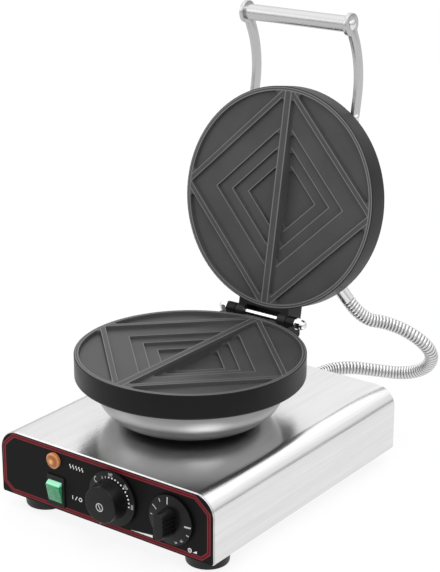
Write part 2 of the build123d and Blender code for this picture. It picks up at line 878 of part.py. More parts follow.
def heater(face):
    # Tubular heater: an open ring close behind the plate with both tails turned away from it
    ring_face = face.offset(plate_thick + heater_tube + seat_gap)
    start = 90 + heater_gap_angle / 2
    turn = 360 - heater_gap_angle
    with BuildPart() as element:
        with BuildLine(ring_face) as ring:
            CenterArc((0, 0), heater_radius, start, turn)
        path = ring.wires()[0]
        with BuildSketch(Plane(origin=path @ 0, z_dir=path % 0)):
            Circle(heater_tube)
        sweep(path=path)
        with BuildSketch(Plane(path @ 0, z_dir=face.z_dir)):
            Circle(heater_tube)
        extrude(amount=heater_tail)
        with BuildSketch(Plane(path @ 1, z_dir=face.z_dir)):
            Circle(heater_tube)
        extrude(amount=heater_tail)
    return element.part


def clamp(face):
    # Flat bar that holds the heater to the plate, under the collar of the tie stud
    with BuildPart() as bar:
        with BuildSketch(face.offset(plate_thick + 2 * (heater_tube + seat_gap))):
            SlotOverall(clamp_length, clamp_width)
            Circle(tie_radius + screw_clear, mode=Mode.SUBTRACT)
        extrude(amount=clamp_thick)
    return bar.part


def tie_stud(face, end):
    # Stud from the plate's tapped hole, with a collar on the clamp, to its nut beyond the bowl
    with BuildPart() as stud:
        with BuildSketch(face.offset(plate_thick - tie_in_plate + seat_gap)):
            Circle(tie_radius)
        extrude(amount=end - plate_thick + tie_in_plate - seat_gap)
        with BuildSketch(face.offset(plate_thick + 2 * (heater_tube + seat_gap) + clamp_thick)):
            RegularPolygon(tie_collar_radius, 6)
        extrude(amount=tie_collar)
    return stud.part


def tie_hole(face):
    with BuildPart() as hole:
        with BuildSketch(face.offset(plate_thick)):
            Circle(tie_radius + fit)
        extrude(amount=-tie_in_plate)
    return hole.part


# Lower plate: the lug behind it carries the two outer ears and the stop for the open lid
hinge_at = (hinge_y, parting_z)
base_ear_inner = lid_lug_half + ear_gap
base_lug_half = base_ear_inner + base_ear_width
stop_reach = lid_lug_end + stop_gap
stop_touch = (hinge_y + stop_reach * cos(lean), parting_z - stop_reach * sin(lean))
stop_run = 2 * base_lug_end
stop_end = (stop_touch[0] + stop_run * sin(lean), stop_touch[1] + stop_run * cos(lean))
with BuildPart() as lower_plate:
    add(plate_blank(lower_face))
    with BuildSketch(Plane.YZ.offset(-base_lug_half)):
        with BuildLine():
            Polyline(
                (hinge_y - lug_root, parting_z),
                (hinge_y + base_lug_end, parting_z),
                (hinge_y + base_lug_end, parting_z - base_lug_tail),
                (hinge_y - base_lug_heel, parting_z - plate_thick),
                (hinge_y - lug_root, parting_z - plate_thick),
                close=True,
            )
        make_face()
        with Locations(hinge_at):
            Circle(ear_radius)
    extrude(amount=2 * base_lug_half)
    with BuildSketch(Plane.YZ.offset(-base_ear_inner)):
        with Locations(hinge_at):
            Circle(stop_reach)
        with BuildLine():
            Polyline(
                (hinge_y, parting_z + 2 * ear_radius),
                (hinge_y + stop_run, parting_z + 2 * ear_radius),
                stop_end,
                stop_touch,
                (hinge_y, parting_z),
                close=True,
            )
        make_face()
    extrude(amount=2 * base_ear_inner, mode=Mode.SUBTRACT)
    with BuildSketch(Plane.YZ.offset(-base_lug_half)):
        with Locations(hinge_at):
            Circle(pin_radius + fit)
    extrude(amount=2 * base_lug_half, mode=Mode.SUBTRACT)
    add(pocket_cutter(lower_face), mode=Mode.SUBTRACT)
    add(tie_hole(lower_face), mode=Mode.SUBTRACT)
keep(lower_plate, "lower_plate")

# Bowl under the plate on its seat ring, with the heater, clamp and tie stud inside
wire_hole = Plane(origin=(wire_hole_x, plate_y + wire_hole_y, cover_top))
with BuildPart() as lower_bowl:
    add(bowl(lower_face))
    with BuildSketch(wire_hole):
        Circle(wire_hole_radius)
    extrude(amount=gasket_thick + 2 * bowl_wall, mode=Mode.SUBTRACT)
keep(lower_bowl, "lower_bowl")

with BuildPart() as bowl_gasket:
    with BuildSketch(lower_face.offset(bowl_foot)):
        Circle(gasket_radius)
        Circle(gasket_hole, mode=Mode.SUBTRACT)
    extrude(amount=gasket_thick)
keep(bowl_gasket, "bowl_gasket")

lower_nut_seat = lower_face.offset(bowl_foot + gasket_thick + sheet)
with BuildPart() as lower_stud:
    add(tie_stud(lower_face, bowl_foot + gasket_thick + sheet + tie_nut_height + tie_over))
keep(lower_stud, "lower_stud")

with BuildPart() as lower_nut:
    add(hex_nuts([lower_nut_seat], tie_radius + fit, tie_nut_radius, tie_nut_height))
keep(lower_nut, "lower_nut")

with BuildPart() as lower_heater:
    add(heater(lower_face))
keep(lower_heater, "lower_heater")

with BuildPart() as lower_clamp:
    add(clamp(lower_face))
keep(lower_clamp, "lower_clamp")

# Thermostat bulb under the plate, and its capillary from the body behind the panel
bulb_z = parting_z - plate_thick - bulb_radius - seat_gap
capillary_y = cover_front + thermostat_body_size[2]
capillary_z = thermostat_z - bushing_radius
riser_y = plate_y + wire_hole_y
bulb_near = riser_y - 3 * bulb_radius
with BuildPart() as thermostat_bulb:
    with BuildLine() as capillary:
        FilletPolyline(
            (thermostat_x, capillary_y, capillary_z),
            (thermostat_x, plate_y - gasket_hole, capillary_z),
            (wire_hole_x, riser_y, capillary_z),
            (wire_hole_x, riser_y, bulb_z),
            (wire_hole_x, bulb_near, bulb_z),
            radius=capillary_bends,
        )
    with BuildSketch(facing_at(thermostat_x, capillary_y, capillary_z, 1)):
        Circle(capillary_radius)
    sweep(path=capillary.line)
    with BuildSketch(facing_at(wire_hole_x, bulb_near, bulb_z)):
        Circle(bulb_radius)
    extrude(amount=bulb_length)
keep(thermostat_bulb, "thermostat_bulb")

# Hinge pin through all four ears, with a washer and a cap nut at each end
pin_half = base_lug_half + washer_play + washer_thick + hinge_thread
washer_at = base_lug_half + washer_play
with BuildPart() as hinge_pin:
    with BuildSketch(Plane.YZ.offset(-pin_half)):
        with Locations(hinge_at):
            Circle(pin_radius)
    extrude(amount=2 * pin_half)
keep(hinge_pin, "hinge_pin")

with BuildPart() as hinge_washers:
    for side in (-1, 1):
        with BuildSketch(Plane(origin=(side * washer_at, hinge_y, parting_z), z_dir=(side, 0, 0))):
            Circle(washer_radius)
            Circle(pin_radius + fit, mode=Mode.SUBTRACT)
        extrude(amount=washer_thick)
keep(hinge_washers, "hinge_washers")

hinge_nut_seats = [
    Plane(origin=(side * (washer_at + washer_thick), hinge_y, parting_z), z_dir=(side, 0, 0))
    for side in (-1, 1)
]
nut_bore = pin_radius + fit
nut_thread = hinge_thread + seat_gap
with BuildPart() as hinge_nuts:
    add(cap_nuts(hinge_nut_seats, nut_bore, hinge_nut_radius, hinge_nut_height, nut_thread))
keep(hinge_nuts, "hinge_nuts")

# Upper plate: a lug with two inner ears at the hinge, and two lugs for the handle's arms
ear_centre = (hinge_reach, 0)
lug_end = hinge_reach + lid_lug_end
slot_half = lid_lug_half - lid_ear_width
arm_line = plate_thick + arm_width / 2 + seat_gap
arm_inner = arm_x - arm_thick / 2
arm_outer = arm_x + arm_thick / 2
arm_root = (bowl_radius ** 2 - arm_inner ** 2) ** 0.5 + arm_width / 2 + arm_bowl_gap
arm_lug_near = (bowl_radius ** 2 - (arm_inner - arm_lug_width) ** 2) ** 0.5 + arm_bowl_gap
arm_lug_far = (plate_radius ** 2 - arm_inner ** 2) ** 0.5 - arm_lug_rim_gap
arm_screw_places = [
    (-arm_lug_far + arm_screw_edge, arm_line),
    (-arm_lug_near - arm_screw_edge, arm_line),
]
with BuildPart() as upper_plate:
    add(plate_blank(lid_face))
    with BuildSketch(lengthwise(-lid_lug_half)):
        with BuildLine():
            Polyline(
                (hinge_reach - lug_root, 0),
                (lug_end, 0),
                (lug_end, plate_thick),
                (hinge_reach - lug_root, plate_thick),
                close=True,
            )
        make_face()
        with Locations(ear_centre):
            Circle(ear_radius)
    extrude(amount=2 * lid_lug_half)
    with BuildSketch(lengthwise(-slot_half)):
        with BuildLine():
            Polyline(
                (hinge_reach - lug_slot_start, -2 * ear_radius),
                (lug_end + ear_radius, -2 * ear_radius),
                (lug_end + ear_radius, lug_slot_depth),
                (hinge_reach - lug_slot_start, lug_slot_depth),
                close=True,
            )
        make_face()
    extrude(amount=2 * slot_half, mode=Mode.SUBTRACT)
    with BuildSketch(lengthwise(-lid_lug_half)):
        with Locations(ear_centre):
            Circle(pin_radius + fit)
    extrude(amount=2 * lid_lug_half, mode=Mode.SUBTRACT)
    for lug_start in (-arm_inner, arm_inner - arm_lug_width):
        with BuildSketch(lengthwise(lug_start)):
            with BuildLine():
                Polyline(
                    (-arm_lug_far, plate_thick),
                    (-arm_lug_near, plate_thick),
                    (-arm_lug_near, arm_line + arm_width / 2),
                    (-arm_lug_far, arm_line + arm_width / 2),
                    close=True,
                )
            make_face()
            with Locations(*arm_screw_places):
                Circle(screw_radius + fit, mode=Mode.SUBTRACT)
        extrude(amount=arm_lug_width)
    add(pocket_cutter(lid_face), mode=Mode.SUBTRACT)
    add(tie_hole(lid_face), mode=Mode.SUBTRACT)
keep(upper_plate, "upper_plate")

# Handle: two flat arms with an eye at the end, and a tube between them
grip_place = (-grip_reach, grip_rise)
arm_spine = [(-arm_root, arm_line), (-arm_elbow, arm_line), grip_place]


def handle_arm(inner):
    with BuildPart() as arm:
        with BuildSketch(lengthwise(inner)):
            with BuildLine():
                FilletPolyline(*arm_spine, radius=arm_bend)
            trace(line_width=arm_width)
            with Locations(arm_spine[0]):
                Circle(arm_width / 2)
            with Locations(grip_place):
                Circle(arm_eye)
                Circle(grip_screw_radius + fit, mode=Mode.SUBTRACT)
            with Locations(*arm_screw_places):
                Circle(screw_radius + fit, mode=Mode.SUBTRACT)
        extrude(amount=arm_thick)
    return arm.part


with BuildPart() as handle_arm_left:
    add(handle_arm(-arm_outer))
keep(handle_arm_left, "handle_arm_left")

with BuildPart() as handle_arm_right:
    add(handle_arm(arm_inner))
keep(handle_arm_right, "handle_arm_right")

with BuildPart() as handle_grip:
    with BuildSketch(lengthwise(-arm_inner)):
        with Locations(grip_place):
            Circle(grip_radius)
            Circle(grip_screw_radius + fit, mode=Mode.SUBTRACT)
    extrude(amount=2 * arm_inner)
    with BuildSketch(lengthwise(-arm_inner + grip_insert)):
        with Locations(grip_place):
            Circle(grip_bore)
    extrude(amount=2 * (arm_inner - grip_insert), mode=Mode.SUBTRACT)
keep(handle_grip, "handle_grip")

grip_seats = [lid_seat(side * arm_outer, -grip_reach, grip_rise, side) for side in (-1, 1)]
with BuildPart() as handle_screws:
    add(round_screws(grip_seats, grip_screw_radius, grip_screw_length, grip_screw_head, screw_head_rise))
keep(handle_screws, "handle_screws")

arm_seats = [
    lid_seat(side * arm_outer, place, away, side)
    for side in (-1, 1)
    for place, away in arm_screw_places
]
with BuildPart() as arm_screws:
    add(round_screws(arm_seats, screw_radius, arm_screw_length, screw_head_radius, screw_head_rise))
keep(arm_screws, "arm_screws")

# Ferrule of the hose, square to the lid bowl's bend, with its ring nut inside
turn_angle = radians(ferrule_turn)
lean_out = radians(ferrule_lean)
root_radius = bowl_radius - bowl_bend + bowl_bend * cos(lean_out)
root_local = Vector(
    root_radius * cos(turn_angle),
    root_radius * sin(turn_angle),
    plate_thick + bowl_straight + bowl_bend * sin(lean_out),
)
ferrule_local = Vector(
    cos(lean_out) * cos(turn_angle),
    cos(lean_out) * sin(turn_angle),
    sin(lean_out),
)
ferrule_root = lid_face.from_local_coords(root_local)
ferrule_way = lid_face.from_local_coords(root_local + ferrule_local) - ferrule_root
ferrule_seat = Plane(origin=ferrule_root, z_dir=ferrule_way)
with BuildPart() as lid_ferrule:
    with BuildSketch(ferrule_seat.offset(-spigot_length)):
        Circle(spigot_radius)
    extrude(amount=spigot_length + seat_gap)
    with BuildSketch(ferrule_seat.offset(seat_gap)):
        RegularPolygon(ferrule_flange_radius, 6)
    extrude(amount=ferrule_flange)
    with BuildSketch(ferrule_seat.offset(seat_gap + ferrule_flange)):
        Circle(hose_radius)
    extrude(amount=ferrule_length - ferrule_flange - seat_gap)
    with BuildSketch(ferrule_seat.offset(-spigot_length)):
        Circle(hose_bore)
    extrude(amount=spigot_length + ferrule_length, mode=Mode.SUBTRACT)
keep(lid_ferrule, "lid_ferrule")

inner_bend = bowl_bend - bowl_wall
locknut_sag = inner_bend - (inner_bend ** 2 - lid_locknut_radius ** 2) ** 0.5
locknut_seat = ferrule_seat.offset(-bowl_wall - locknut_sag - locknut_height - seat_gap / 3)
with BuildPart() as lid_locknut:
    add(hex_nuts([locknut_seat], locknut_bore, lid_locknut_radius, locknut_height))
keep(lid_locknut, "lid_locknut")

# The lid's bowl, with a hole for the ferrule
with BuildPart() as upper_bowl:
    add(bowl(lid_face))
    with BuildSketch(ferrule_seat.offset(-2 * bowl_wall)):
        Circle(spigot_radius + screw_clear)
    extrude(amount=4 * bowl_wall, mode=Mode.SUBTRACT)
keep(upper_bowl, "upper_bowl")

with BuildPart() as upper_heater:
    add(heater(lid_face))
keep(upper_heater, "upper_heater")

with BuildPart() as upper_clamp:
    add(clamp(lid_face))
keep(upper_clamp, "upper_clamp")

with BuildPart() as upper_stud:
    add(tie_stud(lid_face, bowl_foot + tie_nut_height))
keep(upper_stud, "upper_stud")

upper_nut_seat = lid_face.offset(bowl_foot)
tie_thread = tie_nut_height + seat_gap
with BuildPart() as upper_nut:
    add(cap_nuts([upper_nut_seat], tie_radius + fit, tie_nut_radius, tie_nut_height, tie_thread))
keep(upper_nut, "upper_nut")

# Ribbed hose from the ferrule to the rear panel: straight runs joined by arcs, as it hangs.
# Its tightest bends have a radius of two hose diameters.
hose_start = ferrule_seat.offset(ferrule_length).origin
hose_lead = ferrule_seat.offset(ferrule_length + hose_lead_run).origin
hose_end = Vector(hose_gland_x, rear_y + collar_end, hose_gland_z)
hose_route = [
    hose_start,
    hose_lead,
    Vector(90.0, 193.0, 130.0),
    Vector(116.0, 206.0, 117.0),
    Vector(127.0, 223.0, 95.0),
    Vector(114.0, 235.5, 72.0),
    Vector(87.0, 236.5, 58.5),
    Vector(60.0, 224.0, 60.0),
    Vector(36.0, 206.0, 64.0),
    hose_end + Vector(0, hose_lead_run, 0),
    hose_end,
]


def corner_radius(before, corner, after):
    run_in = corner - before
    run_out = after - corner
    half_turn = radians(run_in.get_angle(run_out)) / 2
    return arc_share * min(run_in.length, run_out.length) / tan(half_turn)


hose_radii = [
    corner_radius(hose_route[i - 1], hose_route[i], hose_route[i + 1])
    for i in range(1, len(hose_route) - 1)
]
print("hose bend radii", [round(radius, 1) for radius in hose_radii])
with BuildLine() as hose_line:
    FilletPolyline(*hose_route, radius=hose_radii)
hose_path = hose_line.wires()[0]
hose_length = hose_path.length
rib_count = int(hose_length / hose_pitch)
rib_step = hose_length / rib_count
print("hose length", round(hose_length, 1), "ribs", rib_count)


def hose_station(distance):
    # Plane square to the hose, with a steady X axis: square to the hose's bends all the way
    share = min(distance / hose_length, 1)
    along = hose_path.tangent_at(share)
    return Plane(origin=hose_path.position_at(share), x_dir=bend_normal.cross(along), z_dir=along)


rib_profile = ((0.0, hose_root_radius), (0.22, hose_radius), (0.62, hose_radius), (0.84, hose_root_radius))
with BuildPart() as conduit_hose:
    for rib in range(rib_count):
        for share, radius in rib_profile:
            with BuildSketch(hose_station((rib + share) * rib_step)):
                Circle(radius)
    with BuildSketch(hose_station(hose_length)):
        Circle(hose_root_radius)
    loft(ruled=True)
    with BuildSketch(hose_station(0)):
        Circle(hose_bore)
    sweep(path=hose_path, mode=Mode.SUBTRACT)
keep(conduit_hose, "conduit_hose")
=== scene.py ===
import bpy
import bmesh
from math import cos, hypot, pi, radians, sin
from mathutils import Matrix, Vector


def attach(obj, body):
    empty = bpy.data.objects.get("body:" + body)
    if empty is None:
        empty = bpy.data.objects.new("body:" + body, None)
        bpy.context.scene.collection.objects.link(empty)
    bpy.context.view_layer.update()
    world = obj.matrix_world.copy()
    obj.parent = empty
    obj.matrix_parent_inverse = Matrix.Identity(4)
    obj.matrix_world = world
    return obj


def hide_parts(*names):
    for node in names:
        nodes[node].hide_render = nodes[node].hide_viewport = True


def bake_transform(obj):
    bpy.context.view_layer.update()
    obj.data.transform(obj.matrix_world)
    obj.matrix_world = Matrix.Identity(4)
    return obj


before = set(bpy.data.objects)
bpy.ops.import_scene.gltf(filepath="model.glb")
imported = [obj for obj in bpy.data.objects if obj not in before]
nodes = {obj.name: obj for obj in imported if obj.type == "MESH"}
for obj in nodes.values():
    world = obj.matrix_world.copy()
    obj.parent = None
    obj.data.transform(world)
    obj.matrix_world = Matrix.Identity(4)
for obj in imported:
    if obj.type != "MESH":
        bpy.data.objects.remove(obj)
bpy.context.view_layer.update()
scene = bpy.context.scene
mm = 0.001
print("frame loaded:", len(nodes), "nodes")


# writing node trees
class Wire:
    # one output of a node; the operators put Math nodes behind it
    softEnd = 0.15

    def __init__(self, maker, socket):
        self.maker = maker
        self.socket = socket

    def math(self, operation, first, second=0.0):
        return self.maker.node("ShaderNodeMath", {"operation": operation}, {0: first, 1: second})

    def __add__(self, other):
        return self.math("ADD", self, other)

    def __radd__(self, other):
        return self.math("ADD", other, self)

    def __sub__(self, other):
        return self.math("SUBTRACT", self, other)

    def __rsub__(self, other):
        return self.math("SUBTRACT", other, self)

    def __mul__(self, other):
        return self.math("MULTIPLY", self, other)

    def __rmul__(self, other):
        return self.math("MULTIPLY", other, self)

    def __truediv__(self, other):
        return self.math("DIVIDE", self, other)

    def __mod__(self, other):
        return self.math("FLOORED_MODULO", self, other)

    def sine(self):
        return self.math("SINE", self)

    def cosine(self):
        return self.math("COSINE", self)

    def root(self):
        return self.math("SQRT", self)

    def size(self):
        return self.math("ABSOLUTE", self)

    def between(self, low, high):
        # 0 at low, 1 at high, straight between and held outside
        return self.maker.node("ShaderNodeMapRange", {"clamp": True}, {0: self, 1: low, 2: high})

    def spread(self):
        # the middle range of a noise, stretched to 0 and 1
        return self.between(0.3, 0.7)

    def band(self, low, high):
        # 1 from low to high, with soft ends
        start = self.between(low - self.softEnd, low + self.softEnd)
        return start * (1 - self.between(high - self.softEnd, high + self.softEnd))

    def blended(self, other, share):
        return self * share + other * (1 - share)


class Nodes:
    def __init__(self, tree):
        self.tree = tree

    def node(self, kind, settings, sockets, out=0):
        made = self.tree.nodes.new(kind)
        for name, value in settings.items():
            setattr(made, name, value)
        for name, value in sockets.items():
            if isinstance(value, Wire):
                self.tree.links.new(value.socket, made.inputs[name])
            else:
                made.inputs[name].default_value = value
        return Wire(self, made.outputs[out]) if made.outputs else made

    def mixColour(self, share, first, second):
        return self.node("ShaderNodeMix", {"data_type": "RGBA"}, {0: share, 6: first, 7: second}, 2)

    def axes(self, place):
        split = self.tree.nodes.new("ShaderNodeSeparateXYZ")
        self.tree.links.new(place.socket, split.inputs[0])
        return [Wire(self, output) for output in split.outputs]


def tinted(colour, share=1):
    return [*(part * share for part in colour), 1]


def grey(level):
    return (level, level, level, 1)


class Finish(Nodes):
    # one material on a Principled shader, whose steady values are set on the shader itself
    def __init__(self, name, **steady):
        self.material = bpy.data.materials.new(name)
        self.material.use_nodes = True
        super().__init__(self.material.node_tree)
        self.shader = self.tree.nodes["Principled BSDF"]
        for key, value in steady.items():
            self.shader.inputs[key.replace("_", " ")].default_value = value

    def place(self):
        return self.node("ShaderNodeTexCoord", {}, {}, "Object")

    def local(self, centre, turn=(0, 0, 0), size=(1, 1, 1)):
        # object coordinates seen from a centre, turned and divided by a size
        sockets = {"Vector": self.place(), "Location": centre, "Rotation": turn, "Scale": size}
        return self.node("ShaderNodeMapping", {"vector_type": "TEXTURE"}, sockets)

    def noise(self, place, scale, detail=2.0, rough=0.5):
        sockets = {"Vector": place, "Scale": scale, "Detail": detail, "Roughness": rough}
        return self.node("ShaderNodeTexNoise", {}, sockets)

    def reach(self, x, y):
        return (x * x + y * y).root()

    def feed(self, name, wire):
        self.tree.links.new(wire.socket, self.shader.inputs[name])

    def roughen(self, least, noises, shares):
        # the least roughness, and what each noise can add to it
        self.feed("Roughness", sum(noise * share for noise, share in zip(noises, shares)) + least)

    def bump(self, height, strength, depth):
        # depth in mm
        sockets = {"Strength": strength, "Distance": depth * mm, "Height": height}
        self.feed("Normal", self.node("ShaderNodeBump", {}, sockets))
        return self.material


# finishes: "rough" is the least roughness, "roughBy" what each noise can add to it,
# and "bump" a strength and a depth in mm
lidSeat = {"centre": (0, 118.48 * mm, 263.13 * mm), "turn": (radians(-100.2), 0, 0)}
lowerSeat = {"centre": (0, -21 * mm, 146.5 * mm), "turn": (0, 0, 0)}
coverLook = {
    "light": 0.78, "dark": 0.68, "grain": 1100, "stretch": 60, "broader": 9, "smudge": 9.0,
    "fineShare": 0.55, "rough": 0.09, "roughBy": (0.1, 0.08), "bump": (1.0, 0.05),
}
bowlLook = {
    "light": 0.44, "dark": 0.36, "rings": 900, "slow": 14.0, "fineShare": 0.7,
    "shadeFrom": 24, "shadeTo": 46, "shade": 0.45, "rough": 0.3, "roughBy": [0.12], "bump": (0.12, 0.02),
}
castLook = {
    "grain": 1500, "patch": 28, "grainShare": 0.5, "faceVary": 0.18, "sideVary": 0.3, "shine": 0.2,
    "edge": 1.2, "edgeHighlightLevel": 2.6, "lineSoft": 0.1, "fade": 1.0, "faceDepth": 11.0,
    "sideReach": 109.3, "sideSoft": 0.4, "rimPocket": 105.5, "ridgeHalf": 4.0, "ridgeGap": 2.4,
    "corners": [105.0, 111.6, 74.6, 57.2, 39.3], "rough": 0.32, "roughBy": (0.1, 0.06), "bump": (0.3, 0.05),
}
metalLook = {
    "speckle": 600, "slow": 40.0, "fineShare": 0.5, "dark": 0.86, "roughBy": (0.06, 0.08),
    "bump": (0.08, 0.02),
}
mouldedLook = {"slow": 45.0, "fineShare": 0.4, "dark": 0.8, "roughBy": (0.05, 0.1), "bumpDepth": 0.03}


def brushedCover():
    # sheet steel brushed from front to rear, with broader faint streaks and slow smudges
    look = coverLook
    made = Finish("cover_brushed_steel", Metallic=1.0)
    along = made.local((0, 0, 0), size=(1, look["stretch"], 1))
    fine = made.noise(along, look["grain"], detail=3.0)
    broad = made.noise(along, look["grain"] / look["broader"])
    smudge = made.noise(made.place(), look["smudge"])
    shade = fine.blended(broad, look["fineShare"])
    made.feed("Base Color", made.mixColour(shade.spread(), grey(look["dark"]), grey(look["light"])))
    made.roughen(look["rough"], [shade, smudge], look["roughBy"])
    return made.bump(fine, *look["bump"])


def spunSteel(name, seat):
    # spun bowl: fine rings round its own axis, a slow change along them, and painted shade close to its
    # plate
    look = bowlLook
    made = Finish(name, Metallic=1.0)
    x, y, z = made.axes(made.local(seat["centre"], seat["turn"]))
    ring = made.node("ShaderNodeCombineXYZ", {}, {0: made.reach(x, y), 1: z, 2: 0.0})
    fine = made.noise(ring, look["rings"])
    shade = fine.blended(made.noise(made.place(), look["slow"]), look["fineShare"])
    steel = made.mixColour(shade.spread(), grey(look["dark"]), grey(look["light"]))
    # painted shade: the steel colour darkens towards the plate
    pastPaintedShade = (z / mm).size().between(look["shadeFrom"], look["shadeTo"])
    made.feed("Base Color", made.mixColour(pastPaintedShade, grey(look["dark"] * look["shade"]), steel))
    made.roughen(look["rough"], [shade], look["roughBy"])
    return made.bump(fine, *look["bump"])


def paintedEdgeHighlights(made, x, y, z):
    # painted highlight: 1 on narrow lines beside the edges of the beds, their steps, the ridge, the rim
    # pockets and the rim
    look = castLook
    wide, soft, fade = look["edge"], look["lineSoft"], look["fade"]
    ridge, pocket, rim = look["ridgeHalf"], look["rimPocket"], look["sideReach"] - wide
    reach = made.reach(x, y)
    across = x.size()
    corner = across + y.size()          # the same all along a side of a bed
    steps = sum(corner.band(edge, edge + wide) for edge in look["corners"])
    steps = steps * across.between(ridge + look["ridgeGap"], ridge + look["ridgeGap"] + fade)
    lines = steps + across.band(ridge - wide, ridge)
    lines = lines * (1 - reach.between(pocket - soft, pocket + soft))
    lines = lines + reach.band(pocket, pocket + wide) + reach.between(rim - 2 * soft, rim)
    deep = z.size().between(look["faceDepth"] - fade, look["faceDepth"] + fade)
    return (lines * (1 - deep)).between(0, 1)


def castCoat(name, seat, face, side):
    # black satin coat on a casting: fine grain, broader patches, painted highlight lines along the edges,
    # painted shade on the turned rim
    look = castLook
    made = Finish(name, Specular_IOR_Level=look["shine"])
    x, y, z = [axis / mm for axis in made.axes(made.local(seat["centre"], seat["turn"]))]
    # painted shade: the turned rim takes the darker side level
    rim = made.reach(x, y).between(look["sideReach"] - look["sideSoft"], look["sideReach"])
    grain = made.noise(made.place(), look["grain"], detail=3.0, rough=0.6)
    patch = made.noise(made.place(), look["patch"], detail=3.0)
    shade = grain.blended(patch, look["grainShare"]).spread()
    top, shadedRim = [
        made.mixColour(shade, grey(level * (1 - vary)), grey(level * (1 + vary)))
        for level, vary in ((face, look["faceVary"]), (side, look["sideVary"]))
    ]
    # painted highlight: the edge lines take a lighter grey than the face
    top = made.mixColour(paintedEdgeHighlights(made, x, y, z), top, grey(face * look["edgeHighlightLevel"]))
    made.feed("Base Color", made.mixColour(rim, top, shadedRim))
    made.roughen(look["rough"], [patch.spread(), grain], look["roughBy"])
    return made.bump(grain, *look["bump"])


def plainMetal(name, colour, rough):
    look = metalLook
    made = Finish(name, Metallic=1.0)
    fine = made.noise(made.place(), look["speckle"], detail=3.0)
    slow = made.noise(made.place(), look["slow"])
    shade = fine.blended(slow, look["fineShare"])
    made.feed("Base Color", made.mixColour(shade, tinted(colour, look["dark"]), tinted(colour)))
    made.roughen(rough, [fine, slow], look["roughBy"])
    return made.bump(fine, *look["bump"])


def moulded(name, colour, rough, speckle=1400, strength=0.15, shine=0.25):
    # moulded plastic or rubber: fine grain and a slow change of gloss
    look = mouldedLook
    made = Finish(name, Specular_IOR_Level=shine)
    fine = made.noise(made.place(), speckle, detail=3.0)
    slow = made.noise(made.place(), look["slow"])
    shade = fine.blended(slow, look["fineShare"])
    made.feed("Base Color", made.mixColour(shade, tinted(colour, look["dark"]), tinted(colour)))
    made.roughen(rough, [fine, slow], look["roughBy"])
    return made.bump(fine, strength, look["bumpDepth"])


rocker = {
    "ridge": (42.3, 42.8), "lit": (0.3, 0.78, 0.5, 1), "low": (0.02, 0.2, 0.08, 1),
    "cloud": (0.04, 0.32, 0.14, 1), "cloudScale": 160.0, "cloudRange": (0.35, 0.7),
    "rough": 0.22, "roughBy": [0.1], "bump": (0.1, 0.05),
}
lamp = {
    "centre": (-57.7, -152.0, 65.5), "coreReach": (1.0, 3.4), "rimReach": (5.6, 6.6),
    "core": (0.8, 0.36, 0.08, 1), "ring": (0.3, 0.085, 0.015, 1), "rim": (0.5, 0.2, 0.06, 1),
    "ripple": 420.0, "rough": 0.16, "roughBy": [0.1], "bump": (0.2, 0.06),
}


def rockerGreen():
    # translucent green moulding, with painted light: pale on the upward facet above its ridge
    look = rocker
    made = Finish("rocker_green", Specular_IOR_Level=0.4, Coat_Weight=0.3, Coat_Roughness=0.2)
    height = made.axes(made.place())[2] / mm
    cloud = made.noise(made.place(), look["cloudScale"])
    body = made.mixColour(cloud.between(*look["cloudRange"]), look["low"], look["cloud"])
    # painted light: the facet above the ridge takes the lit colour
    made.feed("Base Color", made.mixColour(height.between(*look["ridge"]), body, look["lit"]))
    made.roughen(look["rough"], [cloud], look["roughBy"])
    return made.bump(cloud, *look["bump"])


def lampAmber():
    # amber lens: a darker ring between a warm core and its rim
    look = lamp
    made = Finish("lamp_amber", Coat_Weight=0.4, Coat_Roughness=0.1, Specular_IOR_Level=0.4)
    x, z = made.axes(made.local([value * mm for value in look["centre"]]))[::2]
    reach = made.reach(x, z) / mm
    ripple = made.noise(made.place(), look["ripple"])
    core = made.mixColour(reach.between(*look["coreReach"]), look["core"], look["ring"])
    made.feed("Base Color", made.mixColour(reach.between(*look["rimReach"]), core, look["rim"]))
    made.roughen(look["rough"], [ripple], look["roughBy"])
    return made.bump(ripple, *look["bump"])


